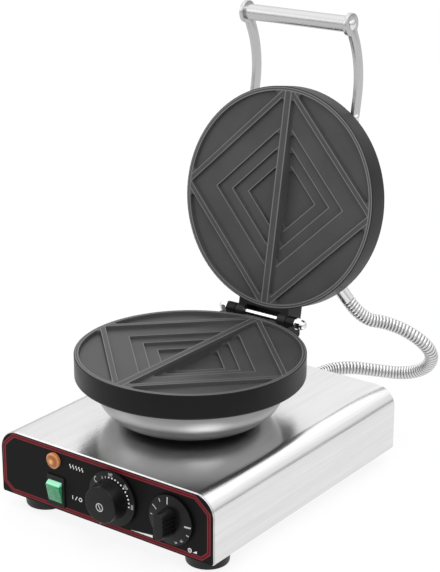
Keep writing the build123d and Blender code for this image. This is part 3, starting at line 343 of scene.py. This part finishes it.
lineRed = moulded("line_red", (0.24, 0.028, 0.034), 0.38, strength=0.1, shine=0.1)
lineDark = moulded("line_dark_red", (0.1, 0.008, 0.014), 0.38, strength=0.1, shine=0.1)
markWhite = moulded("mark_white", (0.85, 0.85, 0.84), 0.43)
dimWhite = moulded("dim_white", (0.5, 0.5, 0.49), 0.43)
finishes = [
    (brushedCover(), ["base_cover", "front_panel", "rear_panel", "bottom_plate"]),
    (spunSteel("lower_bowl_steel", lowerSeat), ["lower_bowl"]),
    (spunSteel("upper_bowl_steel", lidSeat), ["upper_bowl"]),
    # one coating on both plates; the lid's lighter levels and each rim's darker level are painted light and
    # shade
    (castCoat("lower_cast_coat", lowerSeat, 0.05, 0.002), ["lower_plate"]),
    (castCoat("upper_cast_coat", lidSeat, 0.058, 0.012), ["upper_plate"]),
    (plainMetal("pin_steel", (0.9, 0.9, 0.9), 0.09), ["hinge_pin"]),
    (plainMetal("bright_steel", (0.8, 0.8, 0.8), 0.13), [
        "hinge_nuts", "hinge_washers", "panel_nuts", "panel_screws", "foot_screws", "foot_nuts",
        "lower_nut", "upper_nut", "handle_screws", "arm_screws", "hose_gland", "hose_locknut",
        "lid_ferrule", "lid_locknut",
    ]),
    (plainMetal("plain_steel", (0.45, 0.45, 0.45), 0.31), [
        "thermostat_body", "thermostat_shaft", "thermostat_bulb", "timer_body", "timer_shaft", "lower_stud",
        "upper_stud", "lower_heater", "upper_heater", "lower_clamp", "upper_clamp", "conduit_hose",
    ]),
    (plainMetal("handle_steel", (0.52, 0.52, 0.52), 0.21), [
        "handle_arm_left", "handle_arm_right", "handle_grip",
    ]),
    (moulded("film_black", (0.006, 0.006, 0.006), 0.38, 2200, 0.05, 0.08), ["panel_film"]),
    (moulded("knob_black", (0.005, 0.005, 0.0055), 0.25, shine=0.2), ["thermostat_knob", "timer_knob"]),
    # bowl_gasket seats the bowl, and its black also stands in for the shadow in the gap under the bowl
    (moulded("rubber_black", (0.01, 0.01, 0.01), 0.38, 900, 0.3, 0.3), [
        "foot_front_left", "foot_front_right", "foot_rear_left", "foot_rear_right", "bowl_gasket",
    ]),
    (moulded("housing_black", (0.008, 0.008, 0.008), 0.33, shine=0.2), [
        "switch_housing", "lamp_body", "terminal_block", "mains_gland", "mains_locknut",
    ]),
    (rockerGreen(), ["switch_rocker"]),
    (lampAmber(), ["lamp_lens"]),
]
for finish, names in finishes:
    for name in names:
        nodes[name].data.materials.clear()
        nodes[name].data.materials.append(finish)
print("finishes made:", len(finishes))


# geometry nodes
class Shapes(Nodes):
    # a Geometry Nodes tree with named inputs
    def __init__(self, name, inputs):
        super().__init__(bpy.data.node_groups.new(name, "GeometryNodeTree"))
        face = self.tree.interface
        face.new_socket("Geometry", in_out="INPUT", socket_type="NodeSocketGeometry")
        for title, (kind, value) in inputs.items():
            socket = face.new_socket(title, in_out="INPUT", socket_type="NodeSocket" + kind)
            socket.default_value = value
        face.new_socket("Geometry", in_out="OUTPUT", socket_type="NodeSocketGeometry")
        self.start = self.tree.nodes.new("NodeGroupInput")
        self.end = self.tree.nodes.new("NodeGroupOutput")

    def given(self, title):
        return Wire(self, self.start.outputs[title])

    def give(self, wire):
        self.tree.links.new(wire.socket, self.end.inputs[0])
        return self

    def dressed(self, wire):
        # the ending of every made piece: real mesh with its finish
        real = self.node("GeometryNodeRealizeInstances", {}, {"Geometry": wire})
        sockets = {"Geometry": real, "Material": self.given("Finish")}
        return self.give(self.node("GeometryNodeSetMaterial", {}, sockets))


def dress(target, shapes, values):
    # puts the tree on an object and sets its inputs by their sockets' identifiers
    modifier = target.modifiers.new(shapes.tree.name, "NODES")
    modifier.node_group = shapes.tree
    for item in shapes.tree.interface.items_tree:
        if item.item_type == "SOCKET" and item.in_out == "INPUT" and item.name in values:
            modifier[item.identifier] = values[item.name]


def place(mesh, name, finish=None):
    made = bpy.data.objects.new(name, mesh)
    scene.collection.objects.link(made)
    if finish:
        mesh.materials.clear()
        mesh.materials.append(finish)
    return made


def settle(source, name):
    # the modified object as a plain mesh, at the origin
    bpy.context.view_layer.update()
    evaluated = source.evaluated_get(bpy.context.evaluated_depsgraph_get())
    mesh = bpy.data.meshes.new_from_object(evaluated)
    mesh.name = name
    bpy.data.objects.remove(source)
    return place(mesh, name)


def joinedSeams():
    # joins the loose triangles of a solid
    shapes = Shapes("joined_seams", {"Gap": ("Float", 2e-6)})
    sockets = {"Geometry": shapes.given("Geometry"), "Distance": shapes.given("Gap")}
    return shapes.give(shapes.node("GeometryNodeMergeByDistance", {}, sockets))


def smoothFaces():
    # shades smooth up to an angle between faces
    shapes = Shapes("smooth_faces", {"Angle": ("Float", radians(28))})
    sockets = {0: shapes.given("Geometry"), 2: True}
    smooth = shapes.node("GeometryNodeSetShadeSmooth", {"domain": "FACE"}, sockets)
    angle = shapes.node("GeometryNodeInputMeshEdgeAngle", {}, {})
    settings = {"data_type": "FLOAT", "operation": "GREATER_THAN"}
    steep = shapes.node("FunctionNodeCompare", settings, {0: angle, 1: shapes.given("Angle")})
    sockets = {0: smooth, 1: steep, 2: False}
    return shapes.give(shapes.node("GeometryNodeSetShadeSmooth", {"domain": "EDGE"}, sockets))


# widths in mm and angles in degrees: faces within "flat" are made one face, edges past "steep" are rounded
edgeRounds = {
    "widths": {"handle_arm_left": 0.35, "handle_arm_right": 0.35, "switch_rocker": 0.4},
    "flat": 0.3, "steep": 32, "segments": 3,
}


def finishSolids():
    seams = joinedSeams()
    smooth = smoothFaces()
    widths = edgeRounds["widths"]
    for name, solid in nodes.items():
        dress(solid, seams, {})
        if name in widths:
            flat = solid.modifiers.new("flat_faces", "DECIMATE")
            flat.decimate_type = "DISSOLVE"
            flat.angle_limit = radians(edgeRounds["flat"])
            edge = solid.modifiers.new("edge_round", "BEVEL")
            edge.width = widths[name] * mm
            edge.segments = edgeRounds["segments"]
            edge.limit_method = "ANGLE"
            edge.angle_limit = radians(edgeRounds["steep"])
            edge.use_clamp_overlap = False
            edge.miter_outer = "MITER_ARC"
        dress(solid, smooth, {})


finishSolids()
print("solids finished")

# hose, in mm; "rise" is the range of a rib's cosine in which it climbs from root to crest
hose = {
    "route": [
        (18, 160, 62), (18, 186, 62), (36, 206, 64), (60, 224, 60), (87, 236.5, 58.5), (114, 235.5, 72),
        (127, 223, 95), (116, 206, 117), (90, 193, 130), (69.9, 172.9, 135.2), (58.3, 163.6, 156.5),
    ],
    "crest": 7.0, "root": 6.25, "pitch": 3.55, "rings": 8, "sides": 28, "steps": 24, "rise": (-0.8, 0.3),
}
hoseLook = {
    "grooveShade": 0.2, "rib": 0.72, "ribFrom": (0.0, 0.6), "fleck": 0.4, "fleckShare": 0.2, "speckle": 700.0,
    "rough": 0.26, "roughBy": [0.1], "bump": (0.1, 0.02),
}


def hoseLine():
    # the hose's centreline, from the rear panel to the lid
    curve = bpy.data.curves.new("hose_centreline", "CURVE")
    curve.dimensions = "3D"
    curve.resolution_u = hose["steps"]
    spline = curve.splines.new("NURBS")
    spline.points.add(len(hose["route"]) - 1)
    for point, (x, y, z) in zip(spline.points, hose["route"]):
        point.co = (x * mm, y * mm, z * mm, 1)
    spline.order_u = 3
    spline.use_endpoint_u = True
    made = bpy.data.objects.new("hose_centreline", curve)
    scene.collection.objects.link(made)
    return made


def ribbedTube():
    # resampled line whose radius rises and falls once a rib, swept into a tube
    shapes = Shapes("ribbed_tube", {
        "Rings": ("Int", 600), "Rings per rib": ("Int", 8), "Crest": ("Float", 0.007),
        "Root": ("Float", 0.006), "Sides": ("Int", 24), "Finish": ("Material", None),
    })
    sockets = {"Curve": shapes.given("Geometry"), "Count": shapes.given("Rings")}
    line = shapes.node("GeometryNodeResampleCurve", {}, sockets)
    index = shapes.node("GeometryNodeInputIndex", {}, {})
    turn = (index % shapes.given("Rings per rib")) / shapes.given("Rings per rib")
    rise = (turn * (2 * pi)).cosine().between(*hose["rise"])
    radius = shapes.given("Root") + rise * (shapes.given("Crest") - shapes.given("Root"))
    settings = {"data_type": "FLOAT", "domain": "POINT"}
    sockets = {"Geometry": line, "Name": "ribRise", "Value": rise}
    kept = shapes.node("GeometryNodeStoreNamedAttribute", settings, sockets)
    sockets = {"Resolution": shapes.given("Sides"), "Radius": 1.0}
    ring = shapes.node("GeometryNodeCurvePrimitiveCircle", {"mode": "RADIUS"}, sockets)
    sockets = {"Curve": kept, "Profile Curve": ring, "Scale": radius, "Fill Caps": True}
    return shapes.dressed(shapes.node("GeometryNodeCurveToMesh", {}, sockets))


def hoseSteel():
    # bright ribs, with painted shade darkening the grooves between them
    look = hoseLook
    made = Finish("hose_steel", Metallic=1.0)
    rise = made.node("ShaderNodeAttribute", {"attribute_name": "ribRise"}, {}, "Fac")
    fine = made.noise(made.place(), look["speckle"])
    # painted shade: groove colour in the grooves, rib colour on the crests
    colour = made.mixColour(rise.between(*look["ribFrom"]), grey(look["grooveShade"]), grey(look["rib"]))
    made.feed("Base Color", made.mixColour(fine * look["fleckShare"], colour, grey(look["fleck"])))
    made.roughen(look["rough"], [fine], look["roughBy"])
    return made.bump(fine, *look["bump"])


def makeHose():
    line = hoseLine()
    path = [tuple(vertex.co) for vertex in bpy.data.meshes.new_from_object(line).vertices]
    length = sum((Vector(b) - Vector(a)).length for a, b in zip(path, path[1:]))
    ribs = round(length / (hose["pitch"] * mm))
    dress(line, ribbedTube(), {
        "Rings": ribs * hose["rings"] + 1, "Rings per rib": hose["rings"], "Crest": hose["crest"] * mm,
        "Root": hose["root"] * mm, "Sides": hose["sides"], "Finish": hoseSteel(),
    })
    tube = settle(line, "hose_ribs")
    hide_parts("conduit_hose")
    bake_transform(tube)
    print("hose:", ribs, "ribs,", round(length / mm, 1), "mm")


# flat marks
def flatBand(points, width, closed=False, shift=0.0):
    # one four-sided patch for each stretch of a run of points, with mitred joints
    # a shift moves the band to the left of the run
    count = len(points)
    normals = []
    for at in range(count):
        before = points[at - 1] if closed or at else points[at]
        after = points[(at + 1) % count] if closed or at < count - 1 else points[at]
        ways = []
        for a, b in ((before, points[at]), (points[at], after)):
            run = hypot(b[0] - a[0], b[1] - a[1])
            if run > 0:
                ways.append(Vector((a[1] - b[1], b[0] - a[0])) / run)
        total = sum(ways, Vector((0, 0)))
        normals.append(total / total.length * (2 / total.length if len(ways) == 2 else 1))
    patches = []
    for at in range(count if closed else count - 1):
        to = (at + 1) % count
        patches.append([
            Vector(points[index]) + (shift + side * width / 2) * normals[index]
            for index, side in ((at, -1), (to, -1), (to, 1), (at, 1))
        ])
    return patches


def arc(x, y, radius, start, end, steps=14):
    turns = [radians(start + (end - start) * k / steps) for k in range(steps + 1)]
    return [(x + radius * cos(a), y + radius * sin(a)) for a in turns]


def ringBand(x, y, radius, width, sides=24):
    return flatBand(arc(x, y, radius, 0, 360 - 360 / sides, sides - 1), width, True)


def printed(name, seated, finish, body, lift=0.07):
    # thin raised marks: pairs of a seat and the patches in its own plane, made as thick as lift in mm
    work = bmesh.new()
    for seat, patches in seated:
        up = (seat.to_3x3() @ Vector((0, 0, 1))).normalized() * lift * mm
        faces = []
        for patch in patches:
            corners = [work.verts.new(seat @ Vector((x * mm, y * mm, 0))) for x, y in patch]
            faces.append(work.faces.new(corners))
        raised = bmesh.ops.extrude_face_region(work, geom=faces)["geom"]
        tops = [item for item in raised if isinstance(item, bmesh.types.BMVert)]
        bmesh.ops.translate(work, verts=tops, vec=up)
    bmesh.ops.recalc_face_normals(work, faces=work.faces)
    mesh = bpy.data.meshes.new(name)
    work.to_mesh(mesh)
    work.free()
    piece = place(mesh, name, finish)
    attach(piece, body)


# marks on the film, in mm to the right of its middle and up from the level "floor"
panel = {
    "film": -152.0, "floor": 15.0, "stroke": 0.75,
    "line": [(-120.9, 49.6), (-108.6, 61.4), (105.0, 61.4), (119.8, 48.9), (119.8, 11.2), (111.8, 4.1),
             (-110.4, 4.1), (-120.9, 12.0)],
    "lineWidth": 2.8, "lineLift": 0.05, "lineEdge": 0.8, "edgeLift": 0.08,
}
heatWaves = {"at": (-31.0, 50.0), "count": 5, "gap": 3.6, "swing": 0.8, "steps": 10, "height": 4.0}
signs = [
    {   # power: bar, slash and ring
        "at": (-31.0, 19.1), "rings": [(4.2, 1.7)],
        "strokes": [[(-5.2, -1.9), (-5.2, 1.9)], [(-2.2, -1.9), (0.4, 1.9)]],
    },
    {   # warmer: wedge that widens to the right
        "at": (44.5, 8.3), "wedge": [(-13, -1.2), (13, -1.2), (13, 1.4)],
    },
    {   # time: clock face and a short wedge
        "at": (101.8, 8.3), "rings": [(-2.8, 1.8)], "wedge": [(0.4, -1.2), (5.0, -1.2), (5.0, 1.4)],
        "strokes": [[(-2.8, 1.2), (-2.8, 0), (-1.9, -0.5)]], "stroke": 0.6,
    },
    {   # pointer under the thermostat knob
        "at": (-3.6, 4.0), "wedge": [(-0.9, -1.8), (0.9, -1.8), (0, 1.8)],
    },
]


def filmSeat(x, up, out=0.0):
    # seat on the film: local x to the right, local y up, facing the front
    origin = Vector((x, panel["film"] - out, panel["floor"] + up)) * mm
    return Matrix.Translation(origin) @ Matrix.Rotation(pi / 2, 4, "X")


def wavePatches():
    # upright waves side by side, one full swing in each
    x, y = heatWaves["at"]
    steps, height = heatWaves["steps"], heatWaves["height"]
    patches = []
    for k in range(heatWaves["count"]):
        middle = x + (k - (heatWaves["count"] - 1) / 2) * heatWaves["gap"]
        points = [
            (middle + heatWaves["swing"] * sin(2 * pi * t / steps), y + (t / steps - 0.5) * height)
            for t in range(steps + 1)
        ]
        patches += flatBand(points, panel["stroke"])
    return patches


def signPatches(sign):
    x, y = sign["at"]
    patches = []
    for points in sign.get("strokes", []):
        patches += flatBand([(x + a, y + b) for a, b in points], sign.get("stroke", panel["stroke"]))
    for a, radius in sign.get("rings", []):
        patches += ringBand(x + a, y, radius, panel["stroke"])
    if "wedge" in sign:
        patches.append([(x + a, y + b) for a, b in sign["wedge"]])
    return patches


def makePanelMarks():
    seat = filmSeat(0, 0)
    line, width, edge = panel["line"], panel["lineWidth"], panel["lineEdge"]
    middle = flatBand(line, width, True)
    printed("panel_line", [(seat, middle)], lineDark, "base", panel["lineLift"])
    edges = flatBand(line, edge, True, width / 2) + flatBand(line, edge, True, -width / 2)
    printed("panel_line_edges", [(seat, edges)], lineRed, "base", panel["edgeLift"])
    patches = wavePatches()
    for sign in signs:
        patches += signPatches(sign)
    printed("panel_signs", [(seat, patches)], markWhite, "base")


# dials, in mm and degrees: edge and crown are a radius of the skirt and how far it stands out there,
# a mark has an angle and a reach from the axis, and a stroke also a length and a width
skirtLift = 0.03
digitFace = {"thick": 0.05, "bolder": 0.05}
thermostat = {
    "x": 13.5, "up": 34.0, "edge": (26.5, 3.6), "crown": (19.0, 5.0), "front": 20.0,
    "dots": 11, "dotStart": -5.0, "dotStep": 10.0, "dotReach": 21.0, "dotRadius": 0.85,
    "strokes": [(-27, 21.0, 2.4, 0.8), (-16, 21.0, 2.0, 0.8)],
    "hook": (-49, 23.2), "hookArc": (0, -0.6, 2.4, 50, 250), "hookWidth": 0.8,
    "numbers": [("100", -2.0, 22.7), ("200", 46.0, 22.7), ("300", 93.0, 22.9)], "numberSize": 3.4,
    "cap": (-0.4, -2.2), "capRing": 3.7, "capSlash": [(-1.2, 2.3), (1.2, -2.3)],
    "capWidth": 1.0, "capLift": 0.12,
}
timer = {
    "x": 80.0, "up": 33.0, "edge": (23.7, 3.4), "crown": (15.0, 5.2),
    "strokes": [(-7, 18.8, 6.6, 1.1), (-33.5, 20.2, 3.2, 0.9), (-62, 18.8, 6.2, 0.9), (-88, 20.4, 2.6, 0.9),
                (92, 19.8, 6.4, 1.6), (115, 21.4, 2.6, 1.0)],
    "numbers": [("30", 141.0, 19.6), ("45", 161.0, 19.6)], "numberSize": 3.2,
}


def dialSeat(dial, angle, reach, lift=0.0):
    # seat on a dial's sloping skirt: local x along the turn, local y outwards, z off the surface
    (edge, edgeOut), (crown, crownOut) = dial["edge"], dial["crown"]
    out = crownOut + (edgeOut - crownOut) * (reach - crown) / (edge - crown) + lift
    turn = radians(angle)
    outward = Vector((sin(turn), 0, cos(turn)))
    slope = (outward * (edge - crown) + Vector((0, -1, 0)) * (edgeOut - crownOut)).normalized()
    tangent = Vector((cos(turn), 0, -sin(turn)))
    centre = Vector((dial["x"], panel["film"] - out, panel["floor"] + dial["up"])) + outward * reach
    seat = Matrix((tangent, slope, tangent.cross(slope))).transposed().to_4x4()
    seat.translation = centre * mm
    return seat


def digits(name, dial, body):
    # plain numbers in Blender's own face, a flat mesh for each, seated on the skirt
    work = bmesh.new()
    for text, angle, reach in dial["numbers"]:
        curve = bpy.data.curves.new("digits", "FONT")
        curve.body = text
        curve.size = dial["numberSize"] * mm
        curve.align_x = "CENTER"
        curve.extrude = digitFace["thick"] * mm
        curve.offset = digitFace["bolder"] * mm
        source = bpy.data.objects.new("digits", curve)
        mesh = bpy.data.meshes.new_from_object(source)
        bpy.data.objects.remove(source)
        mesh.transform(dialSeat(dial, angle, reach, skirtLift))
        work.from_mesh(mesh)
    mesh = bpy.data.meshes.new(name)
    work.to_mesh(mesh)
    work.free()
    piece = place(mesh, name, dimWhite)
    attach(piece, body)


def strokeBars(dial):
    # a rectangle for each stroke of a dial, with its seat
    seated = []
    for angle, reach, length, width in dial["strokes"]:
        x, y = width / 2, length / 2
        seated.append((dialSeat(dial, angle, reach, skirtLift), [[(-x, -y), (x, -y), (x, y), (-x, y)]]))
    return seated


def dotRow():
    # round dots on an arc about the Y axis, one thin disc instanced at each step
    shapes = Shapes("dot_row", {
        "Count": ("Int", 11), "Start": ("Float", 0.0), "Step": ("Float", 0.1), "Reach": ("Float", 0.02),
        "Dot": ("Float", 0.0007), "Sides": ("Int", 16), "Thickness": ("Float", 0.0003),
        "Finish": ("Material", None),
    })
    sockets = {"Count": shapes.given("Count"), "Offset": (0, 0, 0)}
    points = shapes.node("GeometryNodeMeshLine", {}, sockets)
    index = shapes.node("GeometryNodeInputIndex", {}, {})
    turn = shapes.given("Start") + index * shapes.given("Step")
    reach = shapes.given("Reach")
    sockets = {0: turn.sine() * reach, 1: 0.0, 2: turn.cosine() * reach}
    spot = shapes.node("ShaderNodeCombineXYZ", {}, sockets)
    laid = shapes.node("GeometryNodeSetPosition", {}, {"Geometry": points, "Position": spot})
    sockets = {
        "Vertices": shapes.given("Sides"), "Radius": shapes.given("Dot"), "Depth": shapes.given("Thickness"),
    }
    dot = shapes.node("GeometryNodeMeshCylinder", {"fill_type": "NGON"}, sockets)
    sockets = {"Points": laid, "Instance": dot, "Rotation": (pi / 2, 0, 0)}
    return shapes.dressed(shapes.node("GeometryNodeInstanceOnPoints", {}, sockets))


def makeThermostatMarks():
    dial = thermostat
    seed = place(bpy.data.meshes.new("dot_seed"), "dot_seed")
    dress(seed, dotRow(), {
        "Count": dial["dots"], "Start": radians(dial["dotStart"]), "Step": radians(dial["dotStep"]),
        "Reach": dial["dotReach"] * mm, "Dot": dial["dotRadius"] * mm, "Finish": markWhite,
    })
    dots = settle(seed, "thermostat_dots")
    centre = dialSeat(dial, 0, dial["dotReach"]).translation - Vector((0, 0, dial["dotReach"] * mm))
    dots.data.transform(Matrix.Translation(centre))
    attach(dots, "thermostat_dial")
    digits("thermostat_numbers", dial, "thermostat_dial")
    hook = flatBand(arc(*dial["hookArc"]), dial["hookWidth"])
    seated = [(dialSeat(dial, *dial["hook"], skirtLift), hook)] + strokeBars(dial)
    printed("thermostat_marks", seated, dimWhite, "thermostat_dial")
    right, up = dial["cap"]
    width, lift = dial["capWidth"], dial["capLift"]
    cap = filmSeat(dial["x"] + right, dial["up"] + up, dial["front"])
    patches = ringBand(0, 0, dial["capRing"], width) + flatBand(dial["capSlash"], width)
    printed("thermostat_cap_ring", [(cap, patches)], dimWhite, "thermostat_dial", lift)


def makeTimerMarks():
    printed("timer_ticks", strokeBars(timer), dimWhite, "timer_dial")
    digits("timer_numbers", timer, "timer_dial")


makeHose()
makePanelMarks()
makeThermostatMarks()
makeTimerMarks()
print("pieces made")


# studio; each lamp has a name, a place, a size and a power
studio = {
    "floorRadius": 9.0, "floorSides": 96, "floorColour": 0.88, "floorVary": 0.02, "floorGrain": 30.0,
    "floorWhite": 0.85, "horizon": 0.28, "sky": 1.0, "zenith": 1.9, "shaded": 0.8,
    "skyHeight": (0.0, 0.2), "zenithHeight": (0.35, 0.95),
    "lamps": [
        ("key", (1.3, -0.7, 2.2), 1.5, 16.0),
        ("fill", (-2.0, -1.6, 1.3), 1.8, 8.0),
    ],
    "aim": (0.0, 0.0, 0.15),
}
view = {
    "azimuth": 36.372, "elevation": 19.354, "roll": 0.174, "place": (0.8729, -1.1594, 0.7144),
    "lens": 102.745, "sensor": 36, "farthest": 50,
}


def makeCamera():
    data = bpy.data.cameras.new("photo_camera")
    data.lens = view["lens"]
    data.sensor_width = view["sensor"]
    data.clip_end = view["farthest"]
    camera = bpy.data.objects.new("photo_camera", data)
    scene.collection.objects.link(camera)
    turn = Matrix.Rotation(radians(view["azimuth"]), 4, "Z")
    turn = turn @ Matrix.Rotation(radians(90 - view["elevation"]), 4, "X")
    turn = turn @ Matrix.Rotation(radians(view["roll"]), 4, "Z")
    camera.matrix_world = Matrix.Translation(view["place"]) @ turn
    scene.camera = camera


def seenShares(tree):
    # 1 for rays from the camera, and 1 for these and for rays off or through shiny surfaces
    seen = tree.node("ShaderNodeLightPath", {}, {}, "Is Camera Ray")
    mirrored = tree.node("ShaderNodeLightPath", {}, {}, "Is Glossy Ray")
    through = tree.node("ShaderNodeLightPath", {}, {}, "Is Transmission Ray")
    return seen, (seen + mirrored + through).between(0, 1)


def makeFloor():
    work = bmesh.new()
    sides = studio["floorSides"]
    bmesh.ops.create_circle(work, cap_ends=True, radius=studio["floorRadius"], segments=sides)
    mesh = bpy.data.meshes.new("floor")
    work.to_mesh(mesh)
    work.free()
    material = bpy.data.materials.new("floor_pale")
    material.use_nodes = True
    material.node_tree.nodes.clear()
    tree = Nodes(material.node_tree)
    grain = tree.node("ShaderNodeTexNoise", {}, {"Scale": studio["floorGrain"]})
    colour = studio["floorColour"]
    pale = tree.mixColour(grain, grey(colour), grey(colour * (1 - studio["floorVary"])))
    matt = tree.node("ShaderNodeBsdfDiffuse", {}, {"Color": pale})
    glow = tree.node("ShaderNodeEmission", {}, {"Color": grey(1.0), "Strength": 1.0})
    white = seenShares(tree)[1] * studio["floorWhite"]
    both = tree.node("ShaderNodeMixShader", {}, {0: white, 1: matt, 2: glow})
    tree.node("ShaderNodeOutputMaterial", {}, {"Surface": both})
    place(mesh, "floor", material)


def makeWorld():
    # a sky that brightens from the horizon to the zenith, and white where the camera sees it
    world = bpy.data.worlds.new("studio")
    world.use_nodes = True
    world.node_tree.nodes.clear()
    scene.world = world
    tree = Nodes(world.node_tree)
    height = tree.axes(tree.node("ShaderNodeTexCoord", {}, {}, "Generated"))[2]
    sky = tree.mixColour(height.between(*studio["skyHeight"]), grey(studio["horizon"]), grey(studio["sky"]))
    sky = tree.mixColour(height.between(*studio["zenithHeight"]), sky, grey(studio["zenith"]))
    seen, share = seenShares(tree)
    level = share * (1 - studio["shaded"]) + studio["shaded"]
    sockets = {"Color": tree.mixColour(seen, sky, grey(1.0)), "Strength": level}
    tree.node("ShaderNodeOutputWorld", {}, {"Surface": tree.node("ShaderNodeBackground", {}, sockets)})


def makeLamps():
    for name, spot, size, power in studio["lamps"]:
        data = bpy.data.lights.new(name, "AREA")
        data.shape = "DISK"
        data.size = size
        data.energy = power
        light = bpy.data.objects.new(name, data)
        scene.collection.objects.link(light)
        aim = Vector(studio["aim"]) - Vector(spot)
        light.matrix_world = Matrix.Translation(spot) @ aim.to_track_quat("-Z", "Y").to_matrix().to_4x4()


makeCamera()
makeFloor()
makeWorld()
makeLamps()
scene.view_settings.view_transform = "Standard"
print("studio ready")
